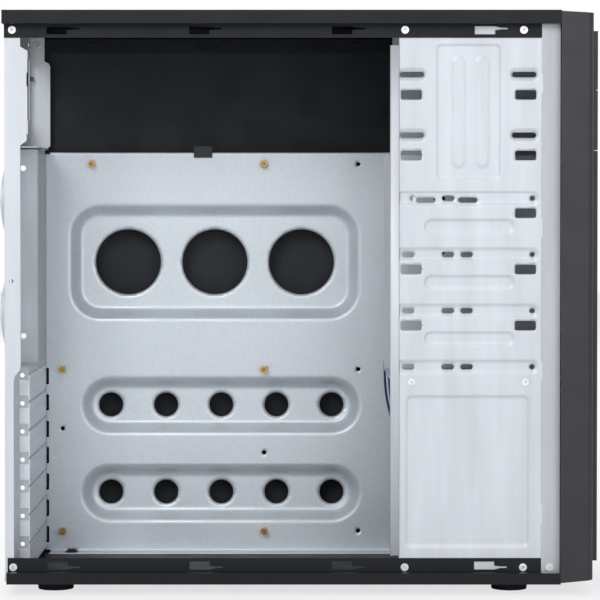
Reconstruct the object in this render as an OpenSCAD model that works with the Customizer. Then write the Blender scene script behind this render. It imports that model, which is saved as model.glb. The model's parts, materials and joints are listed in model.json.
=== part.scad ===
// Desktop computer tower: an ATX mid-tower chassis with its left side cover off.
// Folded steel sheet in a black top cover and bottom pan, with a moulded front bezel.
// X runs from the rear to the front, Y from the open left side to the right, Z up.
// The origin is on the ground under the middle of the overall box. Millimetres.

/* [Chassis] */
// Height of the body from the underside of the pan to the top of the cover
case_h = 405; // [400:1:500]
// Width over the outer strips
case_w = 188; // [184:1:240]
// Depth of the steel chassis from the rear wall to the front wall
chassis_d = 393; // [385:1:480]
// Thickness of the steel sheet
sheet = 0.8; // [0.6:0.05:1]
// How far the side flanges lie inside the outer strips
flange_step = 8; // [7:0.5:10]
// Height of a side flange
flange_h = 9.6; // [8:0.1:12]
// Height of the cover's outer strip
cover_strip_h = 9.5; // [8:0.5:12]
// How far the pan's rear end stops short of the rear wall
pan_setback = 1.8; // [0:0.1:3]
// Height of the pan's outer strip
pan_strip_h = 8; // [6:0.5:10]

/* [Side cover slots] */
// Distance of the first slot from the rear wall
notch_first = 30; // [20:1:40]
// Distance of the last slot from the front wall
notch_last = 60.6; // [50:0.1:80]
// Number of slots along a flange
notch_count = 4; // [3:1:5]
// Length of a slot's wide mouth
notch_w = 14.4; // [13:0.1:18]
// Height of a slot's wide mouth
notch_h = 5.7; // [5:0.1:6.5]
// Length of a slot's narrow tail
notch_tail = 8.9; // [7:0.1:12]

/* [Rear wall] */
// How far the slot and connector panel is set in from the rear wall
recess_d = 13.4; // [12:0.1:16]
// Length of a slot cover from the shelf to the tray
bracket_len = 119; // [110:1:122]
// Spacing of the expansion slots
slot_pitch = 20.32; // [19:0.01:21]
// Number of expansion slots
slot_count = 7; // [4:1:7]
// Height of the power supply bay
psu_bay_h = 94; // [90:1:110]
// Width of the connector recess beside the fans
io_w = 55; // [52:1:60]
// Spacing of a rear fan's screw holes
fan_hole_gap = 71.5; // [50:0.5:72]
// How far the fan grilles stand out of the rear wall
grille_proud = 8; // [4:0.5:12]
// Radius of a fan grille
grille_r = 37; // [35:0.5:38.5]

/* [Tray] */
// Distance of the tray from the outside of the right cover
tray_inset = 29; // [26:1:40]
// Depth of the tray's pressed recesses
press_d = 9; // [4:0.5:12]
// Radius of the three large holes
big_hole_r = 25; // [15:0.5:27]
// Radius of the ten small holes
small_hole_r = 9.2; // [5:0.1:10]
// Height of a standoff
standoff_h = 6.5; // [5:0.5:8]

/* [Drive cage] */
// Length of the cage from its rear edge to the front wall
cage_len = 118.2; // [110:0.1:135]
// Clear width of a 5.25 inch bay
bay_w = 147.2; // [146.8:0.1:150]
// Clear width of a 3.5 inch bay
small_bay_w = 103.2; // [102.8:0.1:106]
// Spacing of the two 5.25 inch bays
bay_pitch = 42.8; // [41.3:0.1:43.5]
// Spacing of the four 3.5 inch bays
small_bay_pitch = 39.8; // [36:0.1:41]
// Depth of the cage's pressed bands
band_d = 1; // [0.6:0.1:1.5]

/* [Front] */
// Depth of the bezel
bezel_d = 23; // [20:0.5:40]
// Thickness of the covers on the bezel's front
slab_d = 3.5; // [2.5:0.1:6]
// Wall thickness of the bezel
bezel_wall = 2.5; // [1.8:0.1:3]
// Travel of the power and reset buttons
button_travel = 2; // [1:0.1:2.5]
// Radius of the power button
power_r = 6.5; // [4:0.1:7]
// Radius of the reset button
reset_r = 3.4; // [2:0.1:4]

/* [Feet] */
// Height of a foot
foot_h = 7.5; // [5:0.5:15]
// Radius of a foot
foot_r = 13.5; // [8:0.5:16]
// Distance of a foot's centre from the rear or front wall
foot_inset = 33.6; // [25:0.1:50]

/* [Hidden] */
$fn = 48;
eps = 0.01;
fit = 0.1;            // gap between sheets that lie on each other across a joint
moving_gap = 0.3;     // gap around a button or a cover

// Levels and planes
z_bot = foot_h;
z_top = foot_h + case_h;
y_out = case_w / 2;
y_fl = y_out - flange_step;         // outer face of the black side flanges
y_in = y_fl - sheet;                // outer face of the steel behind them
y_clear = y_in - sheet;             // inside of that steel
total_d = grille_proud + chassis_d + bezel_d + slab_d;
x_rear = -total_d / 2 + grille_proud;
x_front = x_rear + chassis_d;
x_bezel = x_front + bezel_d;
x_slab = x_bezel + slab_d;
z_ledge_top = z_top - cover_strip_h;
z_ledge_bot = z_bot + pan_strip_h;

// Rear wall
tray_y = y_out - tray_inset;
shelf_y = tray_y - bracket_len;
io_y = tray_y - io_w;
recess_y1 = tray_y + 6;
x_panel = x_rear + recess_d;        // inner face of the slot and connector panel
z_psu = z_top - psu_bay_h;          // top of the lip that the power supply rests on
z_tray_top = z_psu - 2.8;
z_io_top = z_psu - 1.7;
z_row2 = z_tray_top - 166.5;        // middle row of board fixings
z_slot1 = z_row2 - 5.4;             // first expansion slot
z_shelf_top = z_slot1 + 13.9;
z_shelf_bot = z_slot1 - slot_pitch * (slot_count - 1) - 9.9;
slot_zs = [for (i = [0 : slot_count - 1]) z_slot1 - slot_pitch * i];
io_aperture = [44.45, 158.75];
io_z = z_io_top - 3 - io_aperture[1] / 2;
io_yc = io_y + 5.2 + io_aperture[0] / 2;
fan_y = (io_y - y_fl) / 2;
fan_zs = [for (s = [-1, 1]) (z_shelf_top + z_psu) / 2 + s * 40.8];
tab_x = x_rear + 6.9;               // rear edge of a slot cover's tab
bracket_w = 18.4;
tongue_w = 10.2;
screw_r = 1.75;
panel_screws = [[y_fl - 6, z_top - 40], [y_fl - 6, z_bot + 40]];
psu_holes = [[-69, 80], [69, 80], [-69, 16], [45, 6]];

// Board fixings on the tray, from the board standard
col_x = x_rear + 26.9;
standoffs_at = [[22.86, 157.48], [154.94, 157.48], [0, 0], [154.94, 0], [0, -124.46], [154.94, -124.46]];
plain_at = [[227.33, 157.48], [227.33, 0], [227.33, -124.46], [0, -45.72], [154.94, -64.2]];
press_run = 10;
big_press = [223.8, 89.5, 24];
row_press = [215.8, 45, 22.4];
big_x = x_rear + 143.8;
big_z = z_row2 + 82.3;
row_x = x_rear + 148.6;
row_zs = [z_row2 - 28, z_row2 - 95.5];

// Cage
x_cage = x_front - cage_len;
bay_y0 = -y_clear;
bay_y1 = bay_y0 + bay_w;
small_bay_y1 = bay_y0 + small_bay_w;
bay_zs = [z_top - 55.1, z_top - 55.1 - bay_pitch];
z_small_top = bay_zs[1] - 40.8;
small_bay_zs = [for (i = [0 : 3]) z_small_top - small_bay_pitch * i];
z_cage_floor = small_bay_zs[3] - 1;
z_cage_web = bay_zs[1] - 2;
drive_hole_up = 10.1;
small_hole_up = 6.35;
tab_w = 14.9;
tab_h = 6.8;
tab_rear = x_cage + 5.4;
tab_front = x_front - 17 - tab_w;
slot_rear = x_cage + 13.4;
drive_hole_gap = 79.24;
band_x0 = x_cage + 4.2;
band_x1 = x_front - 15;
band_h = 9.4;
hem_w = 5.9;
rivet_z = z_cage_floor - 3.3;

// Front
flange_x = x_front - 13.2;
hook_zs = [for (i = [0 : 3]) z_top - 51.2 - i * (case_h - 99.7) / 3];
slab_z0 = z_bot + 15.8;
slab_z1 = z_top - 14.3;
slab_gap = 0.6;
slab_y = y_fl - 1;
strip_y0 = bay_y1 + 1.4;
strip_y = (strip_y0 + slab_y) / 2;
board_x = x_bezel - 13.5;           // front face of the small circuit boards
power_z = z_top - 40;
reset_z = z_top - 62;
led_zs = [z_top - 78, z_top - 86];
jack_zs = [z_top - 216, z_top - 230];
usb_zs = [z_top - 252, z_top - 276];
control_board = [z_top - 110, z_top - 22];
port_board = [z_top - 300, z_top - 202];
board_hole_up = 4;
post_left = [z_bot + 32, z_cage_floor - 7, z_small_top + 32];
post_right = [z_bot + 52, z_top - 157, z_top - 12];
post_r = 2.8;
lead_hole = [44, z_top - 176];
lead_hole_r = 12;

// Rivets in the black flanges: distance along X
rivet_xs = [x_rear + 5.8, x_cage + 8.4, x_cage + 92.2];
rivet_pan_xs = concat(rivet_xs, [x_front - 7.3]);
rivet_r = 1.6;
rivet_z_top = z_top - 13.6;
rivet_z_bot = z_bot + 11.2;
cage_rivet_xs = [x_cage + 13.1, x_cage + 93.8];

// Feet
foot_at = [for (x = [x_rear + foot_inset, x_front - foot_inset], s = [-1, 1]) [x, s * (y_out - 34)]];

// Front panel leads: points chosen by hand, the leads run behind the drive cage
switch_lead_d = 1.8;
port_lead_d = 4;
switch_route = [[196, 74, 302.4], [196, 74, 296], [194, 69, 281], [191.4, 58, 262], [189.8, 48, 248],
    [184, 44, 241], [173, 41, 232], [156, 35, 214], [132, 28, 197], [106, 23, 187], [84, 22.5, 185],
    [72.5, 22.5, 177], [67.8, 22, 163], [67.3, 22, 147], [68.4, 22, 133], [71.5, 23, 118], [76.5, 24, 101],
    [84, 25, 80], [94, 25, 56], [106, 24, 33], [118, 23, 16], [130, 22, 10], [143, 22, 9.6], [156, 22, 9.6]];
port_route = [[196, 78, 210.6], [196, 77.5, 215], [194.5, 72, 223], [191.5, 62, 229], [189.6, 52, 231],
    [185, 44, 230], [176, 39, 222], [160, 33, 204], [136, 29, 186], [108, 25.5, 174], [86, 24, 171],
    [76, 24, 165], [72.3, 24.5, 154], [72, 25.5, 141], [73.6, 27, 127], [77, 29, 112], [83, 31, 95],
    [91, 32, 74], [101, 32, 51], [112, 31, 30], [124, 30, 16], [136, 30, 11], [147, 30, 10.8], [158, 30, 10.8]];

steel = "#d3d9df";
zinc = "#c4ced6";
black = "#1e2023";
charcoal = "#3c3c3e";
brass = "#b08d4a";

// ---------- helpers ----------

// Box between two opposite corners
module between(a, b) { translate(a) cube(b - a); }

// Rod along Y
module rod_y(x, z, r, y0, y1) { translate([x, y0, z]) rotate([-90, 0, 0]) cylinder(r = r, h = y1 - y0); }

// Rod along X
module rod_x(y, z, r, x0, x1) { translate([x0, y, z]) rotate([0, 90, 0]) cylinder(r = r, h = x1 - x0); }

// Flat outline in the XZ plane, thickened from y0 to y1
module plate_xz(y0, y1) { translate([0, y1, 0]) rotate([90, 0, 0]) linear_extrude(y1 - y0) children(); }

// Flat outline in the YZ plane, thickened from x0 to x1
module plate_yz(x0, x1) { translate([x0, 0, 0]) rotate([90, 0, 90]) linear_extrude(x1 - x0) children(); }

// Rectangle with round corners about the origin
module round_rect(w, h, r) {
    square([w - 2 * r, h], center = true);
    square([w, h - 2 * r], center = true);
    for (sx = [-1, 1], sy = [-1, 1]) translate([sx * (w / 2 - r), sy * (h / 2 - r)]) circle(r = r);
}

// Slot with round ends about the origin
module stadium(len, w) {
    square([len - w, w], center = true);
    for (s = [-1, 1]) translate([s * (len - w) / 2, 0]) circle(r = w / 2);
}

// Pressed pocket: a rounded rectangle that narrows by run on every side over its depth, towards +Y
module pocket(w, h, r, run, depth) {
    cx = w / 2 - r;
    cz = h / 2 - r;
    for (sx = [-1, 1], sz = [-1, 1]) translate([sx * cx, 0, sz * cz])
        rotate([-90, 0, 0]) cylinder(r1 = r, r2 = r - run, h = depth);
    translate([-cx, 0, 0]) rotate([90, 0, 90]) linear_extrude(2 * cx)
        polygon([[0, -h / 2], [depth, run - h / 2], [depth, h / 2 - run], [0, h / 2]]);
    if (cz > 0.2) translate([0, 0, -cz]) linear_extrude(2 * cz)
        polygon([[-w / 2, 0], [run - w / 2, depth], [w / 2 - run, depth], [w / 2, 0]]);
}

// Keyhole slot in a side flange; its mouth's upper rear corner is at the origin
module keyhole() {
    polygon([[0, 0], [notch_w, 0], [notch_w + 4.1, -1], [notch_w + notch_tail, -1.1],
        [notch_w + notch_tail, -2.3], [notch_w + 4.1, -2.3], [notch_w, -2.8], [notch_w, -notch_h], [0, -notch_h]]);
}

notch_pitch = (chassis_d - notch_first - notch_last) / (notch_count - 1);
notch_z_top = z_ledge_top - 1.5;
notch_z_bot = z_ledge_bot + 1.5;
function notch_x(i) = x_rear + notch_first + i * notch_pitch;

// Keyholes through both side flanges, for the cover (up = 1) or the pan (up = -1)
module keyholes(z, up) {
    for (i = [0 : notch_count - 1], s = [-1, 1])
        translate([0, s * (y_fl - sheet / 2), 0])
            plate_xz(-sheet, sheet) translate([notch_x(i), z]) scale_z(up) keyhole();
}
module scale_z(up) { if (up > 0) children(); else mirror([0, 1]) children(); }

// Points of a smooth curve through a route, three to a span, and their directions
function curve_point(p, i, t) =
    let (n = len(p) - 1, a = p[max(i - 1, 0)], b = p[i], c = p[min(i + 1, n)], d = p[min(i + 2, n)])
    0.5 * ((2 * b) + (c - a) * t + (2 * a - 5 * b + 4 * c - d) * t * t + (3 * b - a - 3 * c + d) * t * t * t);
function curve(p) = concat([for (i = [0 : len(p) - 2], k = [0 : 2]) curve_point(p, i, k / 3)], [p[len(p) - 1]]);
function unit(v) = v / norm(v);
function heading(c, i) = unit(c[min(i + 1, len(c) - 1)] - c[max(i - 1, 0)]);
function ring(c, i, r, sides) =
    let (d = heading(c, i), u = unit(cross(d, abs(d[1]) < 0.9 ? [0, 1, 0] : [1, 0, 0])), v = cross(d, u))
    [for (k = [0 : sides - 1]) c[i] + r * (cos(360 * k / sides) * u + sin(360 * k / sides) * v)];

// Round tube swept along a route
module tube(route, d, sides = 8) {
    c = curve(route);
    n = len(c);
    points = [for (i = [0 : n - 1]) each ring(c, i, d / 2, sides)];
    ends = [[for (k = [sides - 1 : -1 : 0]) k], [for (k = [0 : sides - 1]) (n - 1) * sides + k]];
    walls = [for (i = [0 : n - 2], k = [0 : sides - 1])
        [i * sides + k, i * sides + (k + 1) % sides, (i + 1) * sides + (k + 1) % sides, (i + 1) * sides + k]];
    polyhedron(points, concat(ends, walls));
}

// ---------- black cover and pan ----------

// Folded side profile shared by the cover and the pan: strip, ledge and flange on both sides.
// z_skin is the outer skin level, z_ledge the ledge level, up the side that the flange points to.
module side_folds(z_skin, z_ledge, up, setback = 0) {
    x0 = x_rear + setback;
    lo = min(z_skin, z_ledge);
    hi = max(z_skin, z_ledge);
    z_fl = z_ledge + up * flange_h;
    for (s = [0, 1]) mirror([0, s, 0]) {
        between([x0, -y_out, lo], [x_front, -y_out + sheet, hi]);
        between([x0, -y_out, min(z_ledge, z_ledge - up * sheet)],
            [flange_x, -y_fl + sheet, max(z_ledge, z_ledge - up * sheet)]);
        between([x0, -y_fl, min(z_fl, z_ledge - up * sheet)],
            [flange_x, -y_fl + sheet, max(z_fl, z_ledge - up * sheet)]);
    }
}

module rivet_holes(xs, z) {
    for (x = xs) rod_y(x, z, rivet_r + 0.05, -y_out + 2 * sheet, y_out - 2 * sheet);
}

module top_cover() {
    color(black) difference() {
        union() {
            between([x_rear - sheet, -y_out, z_top - sheet], [x_front, y_out, z_top]);
            between([x_rear - sheet, -y_out, z_ledge_top], [x_rear, y_out, z_top]);
            side_folds(z_top, z_ledge_top, -1);
        }
        keyholes(notch_z_top, 1);
        rivet_holes(rivet_xs, rivet_z_top);
    }
}

module bottom_pan() {
    color(black) difference() {
        union() {
            between([x_rear + pan_setback, -y_out, z_bot], [x_front, y_out, z_bot + sheet]);
            between([x_rear - sheet, -y_fl + 6, z_bot], [x_rear, y_fl - 20, z_shelf_bot - 1]);
            between([x_rear - sheet, -y_fl + 6, z_bot], [x_rear + pan_setback + 1, y_fl - 20, z_bot + sheet]);
            side_folds(z_bot, z_ledge_bot, 1, pan_setback);
        }
        keyholes(notch_z_bot, -1);
        rivet_holes(rivet_pan_xs, rivet_z_bot);
        for (p = foot_at) translate([p[0], p[1], z_bot - 1]) cylinder(r = 3.2, h = 3);
    }
}

// ---------- steel chassis ----------

// Outline of a rear side flange: narrow beside the slots, wide beside the power supply
module rear_flange_outline() {
    translate([x_rear, 0]) polygon([[0, z_bot + sheet], [6.2, z_bot + sheet], [6.2, z_slot1 + 6],
        [7.2, z_slot1 + 10.4], [10.6, z_slot1 + 14.6], [11.3, z_slot1 + 17.2], [11.3, z_psu - 1],
        [15.8, z_psu + 2.4], [15.8, z_top - 30], [14.6, z_top - 27.4], [11.4, z_top - 26],
        [11.4, z_top - sheet], [0, z_top - sheet]]);
}

// Opening for the power supply's fan and sockets
module psu_opening() {
    translate([0, z_psu]) {
        translate([-63, 11]) square([126, 64]);
        translate([-75, 22]) square([150, 47]);
    }
}

// Domed fan grille: a shallow bowl cut by rings of slots, standing out towards -X
module fan_grille() {
    radii = [0, 7, 13, 19, 25, 31, 35, grille_r];
    function rise(r) = (grille_proud - 0.1) * (1 - pow(r / grille_r, 2));
    rotate([0, -90, 0]) difference() {
        rotate_extrude() polygon(concat([for (r = radii) [r, rise(r)]],
            [for (i = [len(radii) - 1 : -1 : 0]) [radii[i], rise(radii[i]) - sheet]]));
        for (r = [8, 14, 20, 26, 32]) translate([0, 0, -2]) linear_extrude(grille_proud + 4) difference() {
            circle(r = r + 3.4);
            circle(r = r);
            for (a = [45, 135]) rotate(a) square([2 * grille_r + 4, 3], center = true);
        }
    }
}

module rear_panel() {
    color(steel) difference() {
        union() {
            difference() {
                between([x_rear, -y_in, z_bot + sheet], [x_rear + sheet, y_in, z_top - sheet]);
                between([x_rear - 1, shelf_y, z_shelf_bot], [x_rear + 2, recess_y1, z_shelf_top]);
                between([x_rear - 1, io_y, z_shelf_top - 1], [x_rear + 2, recess_y1, z_io_top]);
                plate_yz(x_rear - 1, x_rear + 2) psu_opening();
                for (z = fan_zs) rod_x(fan_y, z, grille_r - 0.3, x_rear - 1, x_rear + 2);
            }
            for (z = fan_zs) translate([x_rear, fan_y, z]) fan_grille();
            for (s = [0, 1]) mirror([0, s, 0]) plate_xz(-y_in, -y_clear) rear_flange_outline();
            // panel set in behind the rear wall, and the walls around it
            between([x_panel - sheet, shelf_y, z_shelf_bot], [x_panel, recess_y1, z_shelf_top]);
            between([x_panel - sheet, io_y, z_shelf_top - 1], [x_panel, recess_y1, z_io_top]);
            between([x_rear, shelf_y, z_shelf_bot], [x_panel, shelf_y + sheet, z_shelf_top]);
            between([x_rear, shelf_y, z_shelf_bot], [x_panel, recess_y1, z_shelf_bot + sheet]);
            between([x_rear, shelf_y, z_shelf_top - sheet], [x_panel, io_y + sheet, z_shelf_top]);
            between([x_rear, io_y, z_shelf_top - sheet], [x_panel, io_y + sheet, z_io_top]);
            between([x_rear, io_y, z_io_top - sheet], [x_panel, recess_y1, z_io_top]);
            between([x_rear, recess_y1 - sheet, z_shelf_bot], [x_panel, recess_y1, z_io_top]);
            // lip under the power supply
            between([x_rear, -12, z_psu - sheet], [x_rear + 16.3, tray_y - 0.6, z_psu]);
        }
        for (z = slot_zs) {
            between([x_panel - 2, shelf_y + 12, z - 6], [x_panel + 1, tray_y - 12, z + 6]);
            rod_y(x_rear + 9, z + 8.9, 1.6, shelf_y - 1, shelf_y + 2);
        }
        between([x_panel - 2, io_yc - io_aperture[0] / 2, io_z - io_aperture[1] / 2],
            [x_panel + 1, io_yc + io_aperture[0] / 2, io_z + io_aperture[1] / 2]);
        for (z = [z_io_top - 14, z_shelf_top + 20]) rod_y(x_rear + 3, z, 2.1, io_y - 1, io_y + 2);
        for (z = fan_zs, a = [-0.5, 0.5], b = [-0.5, 0.5])
            rod_x(fan_y + a * fan_hole_gap, z + b * fan_hole_gap, 2.2, x_rear - 1, x_rear + 2);
        for (p = psu_holes) rod_x(p[0], z_psu + p[1], 2, x_rear - 1, x_rear + 2);
        for (p = panel_screws, s = [-1, 1]) rod_x(s * p[0], p[1], screw_r, x_rear - 1, x_rear + 2);
        rod_y(x_rear + 4.7, z_top - 191, 1.6, -y_fl, -y_clear + 1);
        rivet_holes([rivet_xs[0]], rivet_z_top);
        rivet_holes([rivet_xs[0]], rivet_z_bot);
    }
}

// Connector plate that snaps into the aperture from inside
module io_plate() {
    color(zinc) {
        w = io_aperture[0];
        h = io_aperture[1];
        between([x_panel, io_yc - w / 2 - 1.6, io_z - h / 2 - 1.6], [x_panel + 0.5, io_yc + w / 2 + 1.6, io_z + h / 2 + 1.6]);
        between([x_panel - 1.6, io_yc - w / 2 + fit, io_z - h / 2 + fit], [x_panel, io_yc + w / 2 - fit, io_z + h / 2 - fit]);
    }
}

// Slot cover: plate over the slot, tab on the shelf, tongue through the tray
module slot_cover(i) {
    z = slot_zs[i];
    x = x_panel + fit;
    if (i < slot_count) color(steel) union() {
        between([x, shelf_y - fit - sheet, z - bracket_w / 2], [x + sheet, tray_y - 2, z + bracket_w / 2]);
        between([x, tray_y - 2 - eps, z - tongue_w / 2], [x + sheet, tray_y + 4.5, z + tongue_w / 2]);
        between([tab_x, shelf_y - fit - sheet, z - 5.6], [x + sheet, shelf_y - fit, z + 5.6]);
    }
}

module tray_pockets(grow, deeper) {
    translate([big_x, tray_y, big_z])
        pocket(big_press[0] + 2 * grow, big_press[1] + 2 * grow, big_press[2] + grow, press_run, press_d + deeper);
    for (z = row_zs) translate([row_x, tray_y, z])
        pocket(row_press[0] + 2 * grow, row_press[1] + 2 * grow, row_press[2] + grow, press_run, press_d + deeper);
}

module motherboard_tray() {
    x0 = x_panel;
    x1 = x_cage + 12;
    color(zinc) difference() {
        union() {
            between([x0, tray_y, z_bot + sheet], [x1, tray_y + sheet, z_tray_top]);
            between([x0 + 4, tray_y - 13, z_bot + sheet], [x1, tray_y + sheet, z_bot + 2 * sheet]);
            between([x0 + 4, tray_y, z_tray_top - sheet], [x1, tray_y + 7, z_tray_top]);
            between([x1 - sheet, tray_y, z_bot + sheet], [x1, tray_y + 7, z_tray_top]);
            tray_pockets(sheet, sheet);
        }
        translate([0, -eps, 0]) tray_pockets(0, 0);
        for (i = [-1 : 1]) rod_y(big_x + i * 66.8, big_z, big_hole_r, tray_y - 1, tray_y + 20);
        for (i = [-2 : 2], z = row_zs) rod_y(row_x + i * 42.6, z, small_hole_r, tray_y - 1, tray_y + 20);
        for (p = standoffs_at) rod_y(col_x + p[0], z_row2 + p[1], 1.7, tray_y - 1, tray_y + 2);
        for (p = plain_at) rod_y(col_x + p[0], z_row2 + p[1], 1.7, tray_y - 1, tray_y + 2);
        for (z = slot_zs) between([x0 - 1, tray_y - 1, z - 6.1], [x0 + 2.9, tray_y + 1, z + 6.1]);
        for (p = foot_at) translate([p[0], p[1], z_bot]) cylinder(r = 6, h = 4);
    }
}

module standoffs() {
    color(brass) for (p = standoffs_at) translate([col_x + p[0], tray_y, z_row2 + p[1]]) rotate([90, 0, 0])
        difference() {
            union() {
                cylinder(r = 2.7, h = standoff_h, $fn = 6);
                translate([0, 0, -2.4]) cylinder(r = 1.65, h = 2.4 + eps);
            }
            translate([0, 0, 1]) cylinder(r = 1.3, h = standoff_h);
        }
}

module tray_clip() {
    color(black) difference() {
        between([x_rear + 128, tray_y - 1.6, z_tray_top - 4], [x_rear + 142, tray_y + 2.4, z_tray_top + 4.6]);
        between([x_rear + 127, tray_y, z_tray_top - 5], [x_rear + 143, tray_y + 3, z_tray_top]);
    }
}

// Front wall of the chassis, with a return on each side
module front_frame() {
    z0 = z_bot + sheet;
    z1 = z_top - sheet;
    color(steel) difference() {
        union() {
            between([x_front - sheet, -y_fl, z0], [x_front, y_fl, z1]);
            between([x_front - 12, -y_clear, z1 - sheet], [x_front, y_clear, z1]);
            between([x_front - 12, -y_clear, z0], [x_front, y_clear, z0 + sheet]);
            for (s = [0, 1]) mirror([0, s, 0])
                between([flange_x + fit, -y_fl, z_ledge_bot + fit], [x_front, -y_in, z_ledge_top - fit]);
        }
        for (z = bay_zs) between([x_front - 2, bay_y0 + 2, z], [x_front + 1, bay_y1, z + bay_pitch - 1.4]);
        for (z = hook_zs, s = [0, 1]) mirror([0, s, 0])
            between([flange_x - 1, -y_fl - 1, z - 7], [flange_x + 1.2, -y_in + 1, z + 7]);
        for (s = [0, 1]) mirror([0, s, 0])
            plate_xz(-y_fl - eps, -y_fl + sheet * 0.45) translate([x_front - 5.9, z_top - 98]) stadium_v(175, 4.2);
        for (z = post_left) rod_x(-y_fl + 8, z, post_r + 0.2, x_front - 2, x_front + 1);
        for (z = post_right) rod_x(y_fl - 8, z, post_r + 0.2, x_front - 2, x_front + 1);
        rod_x(lead_hole[0], lead_hole[1], lead_hole_r, x_front - 2, x_front + 1);
        for (i = [0 : 6], j = [0 : 11])
            rod_x(-44 + j * 8, z_bot + 42 + i * 8, 2.2, x_front - 2, x_front + 1);
        rivet_holes([rivet_pan_xs[3]], rivet_z_bot);
    }
}
module stadium_v(len, w) { rotate(90) stadium(len, w); }

// Holes and pressed shapes of the cage's left wall, in the XZ plane
module bands(grow) {
    w = band_x1 - band_x0;
    for (z = small_bay_zs) translate([band_x0 + w / 2, z + small_hole_up])
        round_rect(w + 2 * grow, band_h + 2 * grow, band_h / 2 - 0.2 + grow);
    for (i = [0 : 2]) translate([x_cage + 54, small_bay_zs[i] - 13.4]) stadium(63.3 + 2 * grow, 9.8 + 2 * grow);
    for (z = bay_zs, x = [slot_rear, slot_rear + drive_hole_gap])
        translate([x, z + drive_hole_up]) stadium(20.5 + 2 * grow, 8.8 + 2 * grow);
    translate([x_cage + 53.3, bay_zs[1] + 26.4]) round_rect(44.9 + 2 * grow, 95.9 + 2 * grow, 4 + grow);
    translate([x_cage + 52.7, (small_bay_zs[3] - 13.8 + z_bot + 24.8) / 2])
        round_rect(86.9 + 2 * grow, small_bay_zs[3] - 38.6 - z_bot + 2 * grow, 3.5 + grow);
}

module cage_holes() {
    for (z = bay_zs, x = [slot_rear, slot_rear + drive_hole_gap]) translate([x, z + drive_hole_up]) stadium(17, 3.9);
    z1 = small_bay_zs[0] + small_hole_up;
    for (x = [13.7, 98.6]) translate([x_cage + x, z1]) circle(r = 1.85);
    for (x = [23.1, 52.9]) translate([x_cage + x, z1 - 1.3]) stadium(13.7, 3.8);
    translate([x_cage + 39.1, z1]) stadium(8.8, 3.8);
    for (i = [1 : 3]) {
        for (x = [10.8, 38.9, 52.2]) translate([x_cage + x, small_bay_zs[i] + small_hole_up]) stadium(8.8, 3.8);
        translate([x_cage + 98.6, small_bay_zs[i] + small_hole_up]) circle(r = 1.85);
    }
}

// Rear corners of the support tabs that are bent in from the wall
tabs_at = concat([for (z = bay_zs, x = [tab_rear, tab_front]) [x, z]],
    [for (i = [0 : 2]) [tab_front, small_bay_zs[i]]], [for (i = [1 : 2]) [tab_rear, small_bay_zs[i]]]);

module cage_left_wall() {
    y0 = -y_in;
    y1 = -y_clear;
    color(steel) difference() {
        union() {
            between([x_cage, y0, z_bot + 2 * sheet], [x_front - sheet, y1, z_top - 2 * sheet]);
            between([x_cage - 1.7, y0 - sheet, z_bot + 19.5], [x_cage - 1.7 + hem_w, y1, z_top - 24.5]);
            plate_xz(y0, y1 + band_d) bands(sheet);
            for (p = tabs_at) between([p[0] + 1, y0, p[1] - sheet], [p[0] + tab_w - 1, y1 + 9, p[1]]);
        }
        difference() {
            plate_xz(y0 - eps, y0 + band_d) bands(0);
            for (x = [46.4, 63.3]) plate_xz(y0 + 0.2, y0 + band_d + eps)
                translate([x_cage + x, bay_zs[1] + 26.4]) round_rect(9.4, 78.2, 4.6);
            between([x_cage - 3, y0 - 2, z_bot], [x_cage - 1.7 + hem_w, y1 + 2, z_top]);
        }
        plate_xz(y0 - 1, y1 + 4) cage_holes();
        for (p = tabs_at) between([p[0], y0 - 1, p[1] - sheet - tab_h], [p[0] + tab_w, y1 + 1, p[1] - sheet]);
        for (z = hook_zs) between([flange_x - 0.2, y0 - 1, z - 7], [flange_x + 1.2, y1 + 1, z + 7]);
        for (x = cage_rivet_xs) rod_y(x, rivet_z, rivet_r + 0.05, y0 - 1, y1 + 1);
        for (x = [rivet_xs[1], rivet_xs[2]]) {
            rod_y(x, rivet_z_top, rivet_r + 0.05, y0 - 1, y1 + 1);
            rod_y(x, rivet_z_bot, rivet_r + 0.05, y0 - 1, y1 + 1);
        }
        rod_y(rivet_pan_xs[3], rivet_z_bot, rivet_r + 0.05, y0 - 1, y1 + 1);
    }
}

// Right side of the cage: wall of the large bays, web, wall of the small bays, and the cage floor
module cage_right_wall() {
    x0 = x_cage - 2.6;
    x1 = x_front - sheet;
    z1 = z_top - sheet;
    color(steel) difference() {
        union() {
            between([x0 + 8, bay_y1, z_cage_web - sheet], [x1, bay_y1 + sheet, z1 - sheet]);
            between([x0 + 8, bay_y1, z1 - 2 * sheet], [x1 - 12, bay_y1 + 10, z1]);
            between([x0 + 8, small_bay_y1, z_cage_web - sheet], [x1, bay_y1 + sheet, z_cage_web]);
            between([x0, small_bay_y1, z_cage_floor - sheet], [x1, small_bay_y1 + sheet, z_cage_web]);
            between([x0, bay_y0, z_cage_floor - sheet], [x1, small_bay_y1 + sheet, z_cage_floor]);
            between([x0 + 4, bay_y0, z_cage_floor - 12], [x1 - 2, bay_y0 + sheet, z_cage_floor]);
        }
        for (z = bay_zs, x = [slot_rear, slot_rear + drive_hole_gap])
            plate_xz(bay_y1 - 1, bay_y1 + 2) translate([x, z + drive_hole_up]) stadium(17, 3.9);
        for (z = small_bay_zs, x = [38.9, 98.6])
            plate_xz(small_bay_y1 - 1, small_bay_y1 + 2) translate([x_cage + x, z + small_hole_up]) stadium(8.8, 3.8);
        for (x = cage_rivet_xs) rod_y(x, rivet_z, rivet_r + 0.05, bay_y0 - 1, bay_y0 + 2);
        rod_y(x_cage + 10, 177, 1.1, small_bay_y1 - 1, small_bay_y1 + 2);
    }
}

// ---------- fasteners ----------

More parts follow.
